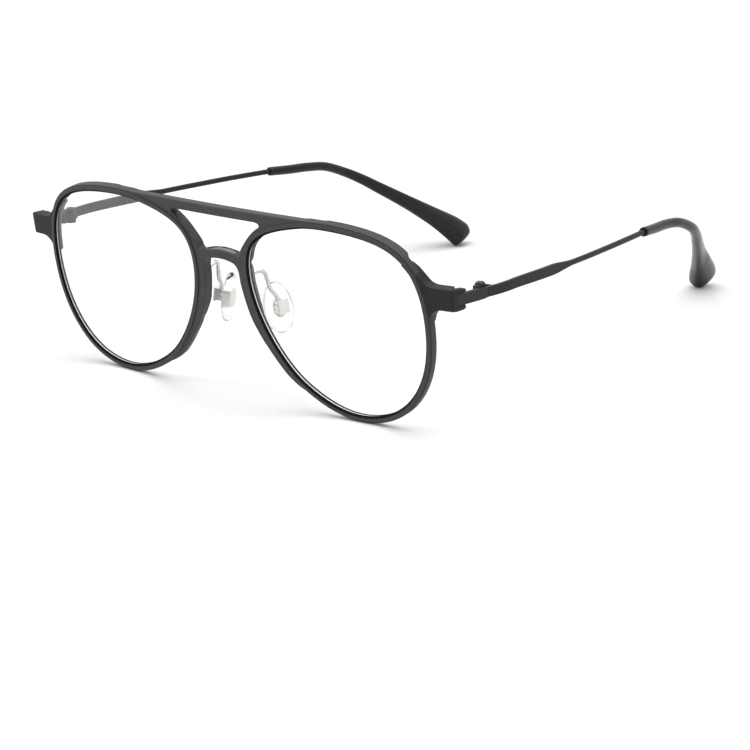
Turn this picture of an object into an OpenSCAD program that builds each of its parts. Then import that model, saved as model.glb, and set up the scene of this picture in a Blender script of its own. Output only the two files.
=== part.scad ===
/* [Lenses] */
// Width of one lens, the first number of a frame's size
lens_w = 53; // [50:0.5:56]
// Height of one lens
lens_h = 48; // [46:0.5:50]
// Thickness of a lens
lens_t = 1.2; // [0.9:0.1:1.3]
// Distance across the nose between the two lenses
bridge_w = 18; // [17:0.5:19]
// Depth to which a lens sits in the groove of its rim
seat = 0.25; // [0.15:0.05:0.4]
// Play of a lens in its groove, on every side
lens_play = 0.05; // [0.03:0.01:0.08]

/* [Front] */
// Radius to which the front is bowed, seen from above
base_r = 660; // [500:20:900]
// Angle by which the front's top leans forward when the frame stands
tilt = 6.6; // [5:0.1:8]
// Width of the raised band round a lens
band_w = 1.2; // [1:0.05:1.4]
// Width of a rim behind the raised band
rim_w = 1.5; // [1.4:0.05:2]
// Height of the band above the plate behind it
band_proud = 0.35; // [0.25:0.05:0.5]
// Depth of the lower part of a rim
rim_d = 2.1; // [2:0.05:2.6]
// Depth of the brow and of the bars beside the window
brow_d = 3; // [2.7:0.1:3.1]
// Height of the brow bar
brow_h = 2.3; // [1.8:0.1:2.8]
// Height of the brow's top above the top of a lens
brow_rise = 1.15; // [0.9:0.05:1.5]
// Drop of the rear half of the brow's top
brow_step = 0.2; // [0.1:0.05:0.4]
// Height of the window between the brow and the lower bridge
window_h = 9.1; // [8:0.1:9.6]
// Height of the lower bridge at its middle
bridge_h = 2.2; // [2:0.05:2.6]
// Depth of the lower bridge and of the flanges beside the nose that hold the pad arms
flange_d = 3.3; // [3.2:0.1:3.8]
// Width of the magnet in the lower bridge
magnet_w = 8.8; // [7.6:0.2:9.4]
// Depth of the magnet, front to back
magnet_d = 1.5; // [1.1:0.1:1.5]
// Height of the magnet
magnet_h = 0.8; // [0.6:0.1:1]
// Depth of the magnet's top below the top of the lower bridge
magnet_low = 0.25; // [0.2:0.05:0.4]

/* [End pieces] */
// Reach of an end piece outward from the lens
end_w = 8.6; // [8:0.1:9.5]
// Height of an end piece
end_h = 5.5; // [5.2:0.1:6]
// Height of an end piece's middle above the middle of the lens
end_z = 9.8; // [9:0.1:10.5]
// Depth of the plate at an end piece
end_d = 3.5; // [3.2:0.1:3.8]
// Length of the prongs along the metal strip they hold
prong = 2.9; // [2.4:0.1:3.2]
// Thickness of the prongs
prong_t = 1.6; // [1.4:0.1:2]

/* [Hinges] */
// Distance from the front face of an end piece back to the hinge's gap
hinge_back = 12.2; // [11.8:0.1:13]
// Length of the metal strip in sight in front of the gap
strip_len = 10.3; // [9.9:0.1:10.5]
// Thickness of the metal strip
strip_t = 1; // [0.9:0.05:1.1]
// Height of the strip where it leaves the end piece
strip_h = 2.8; // [2.6:0.1:3]
// Length of the strip's tongue inside the end piece
tongue = 1.6; // [1.2:0.1:1.8]
// Gap between the strip and the temple
hinge_gap = 0.15; // [0.1:0.05:0.3]
// Height of the hinge's knuckles together
hinge_h = 3.5; // [3.3:0.1:4]
// Height of the middle knuckle
mid_h = 1.2; // [1:0.1:1.4]
// Radius of the knuckles
knuckle_r = 1.35; // [1.25:0.05:1.4]
// Clearance between a knuckle and the metal beside it
knuckle_gap = 0.1; // [0.08:0.02:0.16]
// Clearance between the knuckles along the screw
knuckle_play = 0.05; // [0.03:0.01:0.08]
// Length of a hinge leaf on either side of the screw
leaf = 2.6; // [2.4:0.1:3]
// Diameter of a hinge screw
screw_d = 1.2; // [1:0.1:1.4]
// Radial clearance of a hinge screw in the knuckles
screw_play = 0.03; // [0.02:0.01:0.06]
// Radius of a screw's head
head_r = 1.05; // [0.9:0.05:1.2]
// Height of a screw's head
head_h = 0.45; // [0.35:0.05:0.6]

/* [Temples] */
// Length of a temple from the hinge to its end, the last number of a frame's size
temple_len = 146; // [140:1:152]
// Angle by which a temple leans outward toward the back
splay = 3.5; // [2.5:0.5:4.5]
// Angle by which a temple drops from the front's own level
pitch = 9.1; // [8.1:0.5:10.1]
// Height of a temple's flat part at the hinge
flat_h0 = 2.45; // [2.3:0.05:2.8]
// Height of a temple's flat part at its widest
flat_h = 2.65; // [2.4:0.05:3]
// Length of a temple's flat part
flat_len = 26; // [22:1:30]
// Length over which the flat part narrows to a round wire
taper_len = 10; // [8:1:14]
// Diameter of a temple's round wire
wire_d = 1.45; // [1.3:0.05:1.6]
// Length of the wire inside its tip
wire_in = 13; // [10:1:13]
// Clearance round the wire inside its tip
socket_play = 0.05; // [0.04:0.01:0.08]
// Diameter of a tip at its open end
tip_d0 = 2.5; // [2.3:0.1:2.8]
// Width of a tip at its widest
tip_w = 8; // [7:0.1:8.6]
// Thickness of a tip where it is widest
tip_t = 5.3; // [4.6:0.1:5.8]
// Angle by which a tip's broad faces turn inward toward its end
tip_turn = 45; // [30:5:55]

/* [Nose pads] */
// Height of a nose pad
pad_h = 13; // [12.5:0.1:14]
// Width of a nose pad
pad_w = 7.8; // [7:0.1:8.4]
// Thickness of a nose pad
pad_t = 2.5; // [2.2:0.1:2.8]
// Distance from a pad's screw to the face of the pad
pad_off = 1.45; // [1.4:0.05:1.7]
// Width of the metal core in a pad
core_w = 3; // [2.6:0.1:3.6]
// Height of the metal core in a pad
core_h = 5; // [4:0.1:6]
// Thickness of the metal core in a pad
core_t = 0.9; // [0.7:0.1:1.1]
// Play of the core in its pad
core_play = 0.05; // [0.03:0.01:0.08]
// Thickness of the lug between the two ears of a box
lug_t = 1.3; // [1.1:0.1:1.5]
// Radius of the lug
lug_r = 0.9; // [0.8:0.05:0.95]
// Radius of an ear
ear_r = 1.15; // [1.05:0.05:1.25]
// Thickness of an ear
ear_t = 0.6; // [0.5:0.05:0.8]
// Clearance on either side of the lug
lug_play = 0.08; // [0.05:0.01:0.12]
// Thickness of the plate at the back of a box
box_t = 0.6; // [0.5:0.05:0.8]
// Diameter of a pad screw
pin_d = 1; // [0.8:0.05:1.1]
// Radial clearance of a pad screw in the lug
pin_play = 0.03; // [0.02:0.01:0.05]
// Diameter of a pad arm's wire
arm_d = 1.1; // [0.9:0.05:1.2]
// Depth to which a pad arm is moulded into its flange
arm_in = 1.6; // [1.2:0.1:1.8]

/* [Hidden] */
$fn = 48;

// The front is drawn with its middle at the lenses' centre line, x to the side,
// y to the back and z up; left means the wearer's left, which is +x.
nose_x = bridge_w / 2;
lens_x = nose_x + lens_w / 2;
lens_out = nose_x + lens_w;
brow_top = lens_h / 2 + brow_rise;
brow_under = brow_top - brow_h;
bridge_top = brow_under - window_h;
bridge_under = bridge_top - bridge_h;
end_x = lens_out + end_w;
end_top = end_z + end_h / 2;
end_low = end_z - end_h / 2;

// How far the bowed front face lies behind its middle at a distance from it
function bow(x) = base_r - sqrt(base_r * base_r - x * x);

// Guide points of a lens outline, drawn for a lens of this size; +x is temporal
drawn = [53, 48];
GUIDE = [[27.2, -0.1], [25.9, 14.3], [17.7, 22.8], [-3.2, 24.2], [-10, 23.1], [-27, 18.8],
    [-26.6, 0.8], [-18.5, -13.4], [-11, -20], [1.7, -25.5], [16.1, -22.7], [24.6, -12.6]];

// One point of a closed uniform cubic B-spline
function spline(c, i, t) =
    let (n = len(c), u = 1 - t)
    (u * u * u * c[(i + n - 1) % n] + (3 * t * t * t - 6 * t * t + 4) * c[i]
    + (3 * u * u * u - 6 * u * u + 4) * c[(i + 1) % n] + t * t * t * c[(i + 2) % n]) / 6;
function closed(c, m) = [for (i = [0:len(c) - 1]) for (k = [0:m - 1]) spline(c, i, k / m)];

// Every point of a closed outline moved outward along its normal
function grown(p, d) =
    let (n = len(p))
    [for (i = [0:n - 1])
        let (t = p[(i + 1) % n] - p[(i + n - 1) % n])
        p[i] + d * [t[1], -t[0]] / norm(t)];
GLASS = closed([for (g = GUIDE) [g[0] * lens_w / drawn[0], g[1] * lens_h / drawn[1]]], 6);
RIM = grown(GLASS, rim_w);

// Where the hinge's gap lies on the outer face of the metal
hinge_at = [end_x + hinge_back * tan(splay), bow(end_x) + band_proud + hinge_back,
    end_z - hinge_back * tan(pitch)];

// Turns and moves of a single point, as rotate and translate do
function turn_x(p, a) = [p[0], p[1] * cos(a) - p[2] * sin(a), p[1] * sin(a) + p[2] * cos(a)];
function turn_z(p, a) = [p[0] * cos(a) - p[1] * sin(a), p[0] * sin(a) + p[1] * cos(a), p[2]];
function from_hinge(p) = hinge_at + turn_x(turn_z(p, -splay), -pitch);
function standing(p) = turn_x(p, tilt);

// Unit vector, and a curve that passes smoothly through its points
function unit(v) = v / norm(v);
function through(p, i, t) =
    let (n = len(p), a = p[max(i - 1, 0)], b = p[i], c = p[min(i + 1, n - 1)], d = p[min(i + 2, n - 1)])
    (2 * b + (c - a) * t + (2 * a - 5 * b + 4 * c - d) * t * t
    + (3 * b - a - 3 * c + d) * t * t * t) / 2;
function curve(p, m) = concat([for (i = [0:len(p) - 2]) for (k = [0:m - 1]) through(p, i, k / m)],
    [p[len(p) - 1]]);

// Direction of a path at one of its points
function along(p, i) = unit(p[min(i + 1, len(p) - 1)] - p[max(i - 1, 0)]);

// A ring square to direction t: half widths a to the side and b upward, turned about t,
// and squarer the smaller e is
function bulged(v, e) = sign(v) * pow(abs(v), e);
function oval(o, t, a, b, n, turn, e) =
    let (s = unit(cross(t, [0, 0, 1])), u = cross(s, t),
        across = s * cos(turn) - u * sin(turn), up = u * cos(turn) + s * sin(turn))
    [for (k = [0:n - 1]) let (g = 360 * (k + 0.5) / n)
        o + across * a * bulged(cos(g), e) + up * b * bulged(sin(g), e)];
function barred(o, t, a, b, c) =
    let (s = unit(cross(t, [0, 0, 1])), u = cross(s, t))
    [for (q = [[a, b - c], [a - c, b], [c - a, b], [-a, b - c],
        [-a, c - b], [c - a, -b], [a - c, -b], [a, c - b]]) o + s * q[0] + u * q[1]];

// Tip: distance from its open end to the side, back and up, and how far it has swollen
TIP_LINE = [[0, 0, 0, 0], [-1.65, 6.9, -0.45, 0.02], [-3.2, 13.8, -0.75, 0.02],
    [-4.3, 20.7, -1.7, 0.02], [-5.9, 27.8, -4.4, 0.04], [-8.5, 33.1, -7.3, 0.09],
    [-11.1, 37.2, -10.1, 0.15], [-13.9, 41.4, -13, 0.22], [-17.1, 46.2, -16.4, 0.34],
    [-20.6, 51.8, -20.5, 0.6], [-23.4, 56, -23.95, 0.91], [-24.9, 58.1, -26.05, 1],
    [-25.7, 59, -27, 0.9], [-26.1, 59.4, -27.7, 0.6]];
function reach_of(p, i) = i == 0 ? 0 : norm(p[i] - p[i - 1]) + reach_of(p, i - 1);
tip_len = reach_of([for (q = TIP_LINE) [q[0], q[1], q[2]]], len(TIP_LINE) - 1);

// Temple: shares of its free length, with the offsets inward and upward there
free_len = temple_len - tip_len;
BAR_LINE = [[0.06, 0, 0], [0.11, -0.05, 0.1], [0.16, -0.4, 0.2], [0.23, -0.9, 0.2],
    [0.31, -1.5, 0.2], [0.39, -2.3, 0.2], [0.48, -3.2, 0.2], [0.59, -4.5, 0.2], [0.7, -6, 0.2],
    [0.81, -7.6, 0.2], [0.92, -9.4, 0.15], [1, -10.8, 0.1]];
socket = [-10.8 - strip_t / 2, free_len, 0.1];
socket_dir = unit([-0.24, 1, -0.05]);
bar_mid = concat([[-strip_t / 2, hinge_gap, 0]],
    curve([for (q = BAR_LINE) [q[1] - strip_t / 2, q[0] * free_len, q[2]]], 2),
    [socket + socket_dir * wire_in]);
wire_r = wire_d / 2;

// 0 before the flat part's end, 1 where the wire is round
function roundness(y) =
    let (u = min(max((y - flat_len) / taper_len, 0), 1))
    u * u * (3 - 2 * u);
function bar_b(y) =
    let (k = roundness(y), w = min(y / flat_len, 1))
    (1 - k) * (flat_h0 + (flat_h - flat_h0) * w) / 2 + k * wire_r * 0.96;
function bar_a(y) = (1 - roundness(y)) * strip_t / 2 + roundness(y) * wire_r * 0.96;
function bar_c(y) = (1 - roundness(y)) * 0.15 + roundness(y) * wire_r * 0.56;
BAR = [for (i = [0:len(bar_mid) - 1])
    let (y = bar_mid[i][1])
    barred(bar_mid[i], i < 2 ? [0, 1, 0] : along(bar_mid, i), bar_a(y), bar_b(y), bar_c(y))];

tip_way = curve([for (q = TIP_LINE) [socket[0] + q[0], socket[1] + q[1], socket[2] + q[2], q[3]]], 2);
tip_mid = [for (q = tip_way) [q[0], q[1], q[2]]];
TIP = [for (i = [0:len(tip_mid) - 1])
    let (k = tip_way[i][3], late = i > 20 ? 1 : min(k / 0.5, 1))
    oval(tip_mid[i], i < 3 ? socket_dir : along(tip_mid, i), (tip_d0 + (tip_t - tip_d0) * k) / 2,
        (tip_d0 + (tip_w - tip_d0) * k) / 2, 12, tip_turn * late, 1 - 0.28 * late)];

// The frame stands on its rims and tips, with its middle over the origin
tip_pts = [for (r = TIP) for (p = r) standing(from_hinge(p))];
rim_pts = [for (p = RIM) standing([p[0] + lens_x, bow(p[0] + lens_x) + band_proud, p[1]])];
stand_z = -min([for (p = concat(tip_pts, rim_pts)) p[2]]);
back_y = max([for (p = tip_pts) p[1]]);
front_y = band_proud * cos(tilt) - brow_top * sin(tilt);
stand_y = -(front_y + back_y) / 2;

// Nose pad: the screw's place, and how it is turned
pad_at = [nose_x + 1.5, 9.7, -3.2];
pad_turn = [0, -11.5, -20];
EGG = closed([[0, 1.1], [-0.72, 0.84], [-1.08, 0.2], [-1.12, -0.42], [-0.66, -0.94], [0, -1.08],
    [0.66, -0.94], [1.12, -0.42], [1.08, 0.2], [0.72, 0.84]], 2);
function egg(w, h) = [for (p = EGG) [p[0] * w / 2, p[1] * h / 2]];
PAD_SKIN = [[2.5, 0.4], [2.35, 0.68], [2, 0.86], [1.4, 0.97], [0.7, 1], [0.2, 0.94], [0, 0.84]];
function turn_y(p, a) = [p[0] * cos(a) + p[2] * sin(a), p[1], p[2] * cos(a) - p[0] * sin(a)];
function from_pad(p) = pad_at + turn_z(turn_y(p, pad_turn[1]), pad_turn[2]);

// The pad arm's wire leaves its flange, rises, turns down and ends on top of its box
box_top = ear_r + 0.95;
arm_x = -0.2;
arm_y = -0.75;
arm_root = [nose_x - 1.75, 7.1];
ARM_LINE = [[arm_root[0], flange_d + 0.6, arm_root[1]], [arm_root[0], flange_d + 2.2, 7.4],
    [nose_x - 1.1, flange_d + 3.5, 7.25], [nose_x - 0.8, flange_d + 4.4, 6.3],
    [nose_x - 0.5, flange_d + 4.6, 4.7], [nose_x - 0.1, pad_at[1] - 1.6, 2.3],
    from_pad([arm_x, arm_y, box_top + 1.1]), from_pad([arm_x, arm_y, box_top])];

module stand() translate([0, stand_y, stand_z]) rotate([tilt, 0, 0]) children();
module side(s) mirror([s < 0 ? 1 : 0, 0, 0]) children();
module at_hinge() translate(hinge_at) rotate([-pitch, 0, 0]) rotate([0, 0, -splay]) children();
module at_pad() translate(pad_at) rotate([0, 0, pad_turn[2]]) rotate([0, pad_turn[1], 0]) children();

// A closed skin over rings that all have as many points
module skin(rings) {
    n = len(rings[0]);
    m = len(rings);
    sides = [for (i = [0:m - 2]) for (j = [0:n - 1])
        for (f = [[i * n + j, (i + 1) * n + j, i * n + (j + 1) % n],
            [i * n + (j + 1) % n, (i + 1) * n + j, (i + 1) * n + (j + 1) % n]]) f];
    caps = [[for (j = [0:n - 1]) j], [for (j = [n - 1:-1:0]) (m - 1) * n + j]];
    polyhedron(points = [for (r = rings) for (p = r) p], faces = concat(sides, caps));
}

// Flat shapes of the front stand upright, and are cut to a layer of its bowed thickness
module upright() translate([0, 16, 0]) rotate([90, 0, 0]) linear_extrude(18) children();
module bowed(d) translate([0, base_r, -60]) cylinder(r = base_r - d, h = 120, $fn = 1800);
module layer(from, to) {
    difference() {
        intersection() {
            upright() children();
            bowed(from);
        }
        bowed(to);
    }
}
module both_eyes() for (s = [-1, 1]) mirror([s < 0 ? 1 : 0, 0]) translate([lens_x, 0]) children();

// Half outline of the plate that joins the rims, for x above 0
PLATE = [[0, brow_top], [lens_x - 2, brow_top], [lens_x - 2, brow_top - 3], [nose_x + 5, 10],
    [nose_x + 4, 0], [nose_x + 5.5, -5], [nose_x + 7.5, -9], [nose_x + 9.5, -12.5],
    [nose_x + 11.5, -15], [nose_x + 15.5, -19.5], [nose_x + 15, -20.6], [nose_x + 12, -19.3],
    [nose_x + 8.6, -16.8], [nose_x + 6, -13.8], [nose_x + 4, -11.2],
    [nose_x + 1.7, -8], [nose_x - 0.2, -4.6], [nose_x - 1.3, -2], [nose_x - 2.3, 2],
    [nose_x - 3, 6], [nose_x - 3, bridge_under - 3.3], [nose_x - 3.4, bridge_under - 1.7],
    [nose_x - 4.3, bridge_under - 0.75], [nose_x - 6.5, bridge_under - 0.2], [0, bridge_under]];
WINDOW = [[0, brow_under], [nose_x + 4.6, brow_under], [nose_x + 5.7, brow_under - 0.35],
    [nose_x + 5.9, brow_under - 1], [nose_x + 3.7, brow_under - 2.4],
    [nose_x + 1.6, brow_under - 4.3], [nose_x - 0.7, bridge_top + 2.05],
    [nose_x - 1.6, bridge_top + 0.85], [nose_x - 2, bridge_top - 0.6],
    [nose_x - 2.9, bridge_top - 1.05], [nose_x - 5.4, bridge_top - 0.4], [0, bridge_top]];
EAR = [[lens_out - 5.5, end_top + 4.8], [lens_out - 3.1, end_top + 5.85],
    [lens_out - 1.3, end_top + 5.05], [lens_out - 0.3, end_top + 4.15],
    [lens_out + 0.7, end_top + 2.25], [lens_out + 1.5, end_top + 0.95],
    [lens_out + 2.5, end_top + 0.15], [lens_out + 3.2, end_top], [end_x, end_top],
    [end_x, end_low], [lens_out + 4.9, end_low], [lens_out + 3.3, end_low - 1.05],
    [lens_out + 1.8, end_low - 2.75], [lens_out + 0.6, end_low - 4.6]];
// Half outline of what stands out behind the rims: the lower bridge and a flange beside the nose
FLANGE = [[0, bridge_top + 1], [nose_x - 2.95, bridge_top + 1], [nose_x - 2.9, bridge_top - 1.05],
    [nose_x - 2.1, bridge_top - 1.5], [nose_x - 0.9, bridge_top - 2.7], [nose_x - 0.5, 9],
    [nose_x - 0.4, 7], [nose_x, 5], [nose_x + 0.55, 2], [nose_x + 0.9, -1], [nose_x + 1.5, -4],
    [nose_x + 2.2, -7], [0, -7]];
// Half outline of the magnet, which follows the lower bridge's top
function arch(x) = bridge_top - magnet_low - lookup(x, [[1.5, 0], [nose_x - 5.4, 0.4], [nose_x - 2.9, 1.05]]);
function magnet_flat(more) =
    let (a = magnet_w / 2, b = nose_x - 5.4)
    [[0, arch(0) + more], [1.5, arch(0) + more], [b, arch(b) + more], [a, arch(a) + more],
        [a, arch(a) - magnet_h], [b, arch(b) - magnet_h], [0, arch(0) - magnet_h]];
// The whole of an outline that starts and ends on the middle line
function whole(p) = concat(p, [for (i = [len(p) - 1:-1:0]) if (p[i][0] > 0) [-p[i][0], p[i][1]]]);

// Outline of the strip and of the fork, seen from the side: y to the back, z up
module strip_side(more) {
    y = -strip_len;
    h = strip_h / 2 + more;
    g = flat_h0 / 2 + more;
    polygon([[y - more, -h], [-prong, -h], [0, -g], [0, g], [-prong, h], [y - more, h]]);
}
module outward(from, to) translate([from, 0, 0]) rotate([90, 0, 90]) linear_extrude(to - from) children();
module fork() {
    root = -hinge_back / cos(pitch) / cos(splay);
    h = end_h / 2;
    tip_y = prong - strip_len;
    at_hinge() outward(-prong_t, 0)
        polygon([[root + 0.6, -h], [-strip_len, -h + 0.05], [tip_y - 0.5, -h + 0.3], [tip_y, -h + 0.65],
            [tip_y, h - 0.75], [tip_y - 0.5, h - 0.4], [-strip_len, h - 0.05], [root + 0.6, h]]);
}
module strip_room() {
    at_hinge() outward(-strip_t, 1) {
        strip_side(0.05);
        translate([-strip_len, -strip_h / 2 - 0.05]) square([strip_len, strip_h + 0.1]);
    }
    at_hinge() translate([-strip_t * 0.9, -strip_len - tongue, -strip_h * 0.35])
        cube([strip_t * 0.6, tongue + 0.1, strip_h * 0.7]);
}

// The whole front seen from the front, without its openings
module front_flat() {
    roof = brow_top + 0.2;
    difference() {
        intersection() {
            union() {
                both_eyes() polygon(RIM);
                difference() {
                    polygon(whole(PLATE));
                    polygon(whole(WINDOW));
                }
                for (s = [0, 1]) mirror([s, 0]) polygon(EAR);
            }
            translate([-end_x - 5, roof - 2 * end_x]) square([2 * end_x + 10, 2 * end_x]);
        }
        both_eyes() polygon(grown(GLASS, -seat));
    }
}

// A block from x1 to x2 and z1 to z2 on both sides, behind depth d of the bowed front
module behind(d, x1, x2, z1, z2) {
    intersection() {
        upright() for (s = [0, 1]) mirror([s, 0]) translate([x1, z1]) square([x2 - x1, z2 - z1]);
        bowed(d);
    }
}
// The same across the middle
module behind_middle(d, x, z1, z2) {
    intersection() {
        upright() translate([-x, z1]) square([2 * x, z2 - z1]);
        bowed(d);
    }
}

module front_frame() {
    groove = lens_t + 2 * lens_play;
    lip = (rim_d - groove) * 0.6;
    far = 2 * end_x;
    flank = nose_x + 6;
    flange_low = -5.4;
    strut = bridge_under + 0.6;
    color([0.16, 0.16, 0.155]) stand() difference() {
        union() {
            difference() {
                intersection() {
                    upright() front_flat();
                    bowed(0);
                }
                bowed(max(flange_d, end_d));
                // the plate lies behind the raised bands
                difference() {
                    upright() difference() {
                        translate([-far, -far]) square([2 * far, 2 * far]);
                        both_eyes() polygon(grown(GLASS, band_w));
                    }
                    bowed(band_proud);
                }
                // depth of the end pieces, brow, lower bridge and rims
                behind(end_d, lens_out - 4, far, 5, far);
                behind_middle(flange_d, flank, -far, far);
                behind(rim_d, flank, lens_out - 3, 5, 19);
                behind(brow_d, flank, lens_out - 3, 19, far);
                for (cut = [[rim_d, -far, strut], [brow_d, strut, far]]) intersection() {
                    upright() difference() {
                        translate([-flank, cut[1]]) square([2 * flank, cut[2] - cut[1]]);
                        polygon(whole(FLANGE));
                    }
                    bowed(cut[0]);
                }
                behind(rim_d, flank, far, -far, end_low - 1);
                behind_middle(rim_d, far, -far, flange_low);
                // the flanges slope away at their lower ends
                outward(-flank, flank)
                    polygon([[rim_d + 0.2, flange_low], [flange_d + 0.2, flange_low + 4.8],
                        [12, flange_low + 4.8], [12, flange_low - 1], [rim_d + 0.2, flange_low - 1]]);
                // the rear half of the brow's top
                translate([-lens_x, (band_proud + brow_d) / 2, brow_top - brow_step])
                    cube([2 * lens_x, 12, 2]);
            }
            for (s = [-1, 1]) side(s) fork();
        }
        layer(lip, lip + groove) both_eyes() polygon(grown(GLASS, lens_play));
        for (s = [-1, 1]) side(s) {
            strip_room();
            translate([arm_root[0], flange_d - arm_in, arm_root[1]]) rotate([-90, 0, 0])
                cylinder(d = arm_d, h = arm_in + 1);
        }
        magnet_block(2);
    }
}
module magnet_block(more)
    translate([0, band_proud + 1 + magnet_d, 0]) rotate([90, 0, 0])
        linear_extrude(magnet_d) polygon(whole(magnet_flat(more)));

module lens(s) {
    groove = lens_t + 2 * lens_play;
    lip = (rim_d - groove) * 0.6 + lens_play;
    color([0.93, 0.95, 0.96, 0.25]) stand() side(s)
        layer(lip, lip + lens_t) translate([lens_x, 0]) polygon(GLASS);
}
module lens_left() lens(1);
module lens_right() lens(-1);

module bridge_magnet() {
    color([0.5, 0.5, 0.5]) stand() magnet_block(0);
}

// The screw's axis lies inward of the strip by a knuckle's radius and its clearance
axis_x = -strip_t - knuckle_gap - knuckle_r;
outer_h = (hinge_h - mid_h) / 2 - knuckle_play;
module at_axis() at_hinge() translate([axis_x, 0, 0]) children();
module screw_hole() translate([0, 0, -hinge_h]) cylinder(d = screw_d + 2 * screw_play, h = 2 * hinge_h);
module hinge_plate(s) {
    reach = knuckle_r + knuckle_gap;
    color([0.2, 0.2, 0.2]) stand() side(s) {
        at_hinge() {
            outward(-strip_t, 0) strip_side(0);
            translate([-strip_t * 0.9, -strip_len - tongue, -strip_h * 0.35])
                cube([strip_t * 0.6, tongue + 0.1, strip_h * 0.7]);
        }
        at_axis() difference() {
            union() {
                for (z = [-hinge_h / 2, hinge_h / 2 - outer_h]) {
                    translate([0, 0, z]) cylinder(r = knuckle_r, h = outer_h);
                    translate([0, -leaf, z]) cube([reach, leaf, outer_h]);
                }
                translate([0, -leaf, -hinge_h / 2]) cube([reach, leaf - reach, hinge_h]);
            }
            screw_hole();
        }
    }
}
module hinge_plate_left() hinge_plate(1);
module hinge_plate_right() hinge_plate(-1);

module hinge_screws() {
    color([0.45, 0.45, 0.45]) for (s = [-1, 1]) stand() side(s) at_axis() difference() {
        union() {
            translate([0, 0, -hinge_h / 2]) cylinder(d = screw_d, h = hinge_h + head_h / 2);
            translate([0, 0, hinge_h / 2]) cylinder(r = head_r, h = head_h);
        }
        translate([-head_r - 1, -0.15, hinge_h / 2 + head_h / 2]) cube([2 * head_r + 2, 0.3, head_h]);
    }
}

module temple_knuckle(s) {
    reach = knuckle_r + knuckle_gap;
    free = reach + knuckle_gap;
    color([0.2, 0.2, 0.2]) stand() side(s) at_axis() difference() {
        union() {
            translate([0, 0, -mid_h / 2]) cylinder(r = knuckle_r, h = mid_h);
            translate([0, 0, -mid_h / 2]) cube([knuckle_r, leaf, mid_h]);
            translate([0, hinge_gap, -mid_h / 2]) cube([reach, leaf - hinge_gap, mid_h]);
            translate([0, free, -flat_h0 / 2]) cube([reach, leaf - free, flat_h0]);
        }
        screw_hole();
    }
}
module temple_knuckle_left() temple_knuckle(1);
module temple_knuckle_right() temple_knuckle(-1);

module temple(s) color([0.2, 0.2, 0.2]) stand() side(s) at_hinge() skin(BAR);
module temple_left() temple(1);
module temple_right() temple(-1);

module temple_tip(s) {
    yaw = atan2(socket_dir[1], socket_dir[0]);
    color([0.08, 0.08, 0.08]) stand() side(s) at_hinge() difference() {
        skin(TIP);
        translate(socket) rotate([0, acos(socket_dir[2]), yaw]) translate([0, 0, -1])
            cylinder(r = wire_r + socket_play, h = wire_in + 1.3);
    }
}
module temple_tip_left() temple_tip(1);
module temple_tip_right() temple_tip(-1);

module pad_arm(s) {
    base = [arm_root[0], flange_d - arm_in, arm_root[1]];
    way = concat([base], curve(ARM_LINE, 3));
    down = from_pad([0, 0, -1]) - pad_at;
    color([0.75, 0.75, 0.76]) stand() side(s)
        skin([for (i = [0:len(way) - 1])
            oval_up(way[i], i < 2 ? [0, 1, 0] : i == len(way) - 1 ? down : along(way, i),
                arm_d / 2 * 0.98, 10)]);
}

// A round ring square to t, kept level by the sideways direction
function oval_up(o, t, r, n) =
    let (u = unit(cross([1, 0, 0], t)), s = cross(t, u))
    [for (k = [0:n - 1]) o + s * r * cos(360 * (k + 0.5) / n) + u * r * sin(360 * (k + 0.5) / n)];
module pad_arm_left() pad_arm(1);
module pad_arm_right() pad_arm(-1);

// Shapes along the pad screw, which runs front to back
module across(from, to) translate([0, to, 0]) rotate([90, 0, 0]) linear_extrude(to - from) children();
ear_in = lug_t / 2 + lug_play;
plate_x = ear_r - 0.15;
module pad_box(s) {
    color([0.78, 0.78, 0.79]) stand() side(s) at_pad() difference() {
        union() {
            for (y = [-ear_in - ear_t, ear_in]) across(y, y + ear_t) {
                circle(r = ear_r);
                translate([0, -ear_r]) square([plate_x + 0.1, 2 * ear_r]);
            }
            translate([plate_x, -ear_in - ear_t, -ear_r - 0.3])
                cube([box_t, 2 * (ear_in + ear_t), ear_r + 0.3 + box_top]);
            translate([arm_x - arm_d / 2 - 0.05, arm_y - arm_d / 2 - 0.1, ear_r + 0.1])
                cube([plate_x + 0.1 - arm_x + arm_d / 2, arm_d + 0.2, box_top - ear_r - 0.1]);
        }
        across(-4, 4) circle(d = pin_d);
    }
}
module pad_box_left() pad_box(1);
module pad_box_right() pad_box(-1);

module pad_screws() {
    reach = ear_in + ear_t;
    color([0.8, 0.8, 0.8]) for (s = [-1, 1]) stand() side(s) at_pad() difference() {
        union() {
            across(-reach, reach) circle(d = pin_d);
            across(-reach - 0.4, -reach) circle(r = 0.95);
        }
        translate([-2, -reach - 1.2, -0.12]) cube([4, 1, 0.24]);
    }
}

module pad_core(s) {
    color([0.75, 0.75, 0.76]) stand() side(s) at_pad() difference() {
        union() {
            across(-lug_t / 2, lug_t / 2) {
                circle(r = lug_r);
                translate([-pad_off - 0.1, -lug_r]) square([pad_off + 0.1, 2 * lug_r]);
            }
            outward(-pad_off - core_t, -pad_off) polygon(egg(core_w, core_h));
        }
        across(-4, 4) circle(d = pin_d + 2 * pin_play);
    }
}
module pad_core_left() pad_core(1);
module pad_core_right() pad_core(-1);

module nose_pad(s) {
    color([0.95, 0.96, 0.97, 0.4]) stand() side(s) at_pad() difference() {
        skin([for (q = PAD_SKIN) [for (p = egg(pad_w, pad_h))
            [-pad_off - q[0] * pad_t / 2.5, p[0] * q[1], p[1] * q[1]]]]);
        outward(-pad_off - core_t - core_play, 1) polygon(grown(egg(core_w, core_h), core_play));
    }
}
module nose_pad_left() nose_pad(1);
module nose_pad_right() nose_pad(-1);

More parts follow.
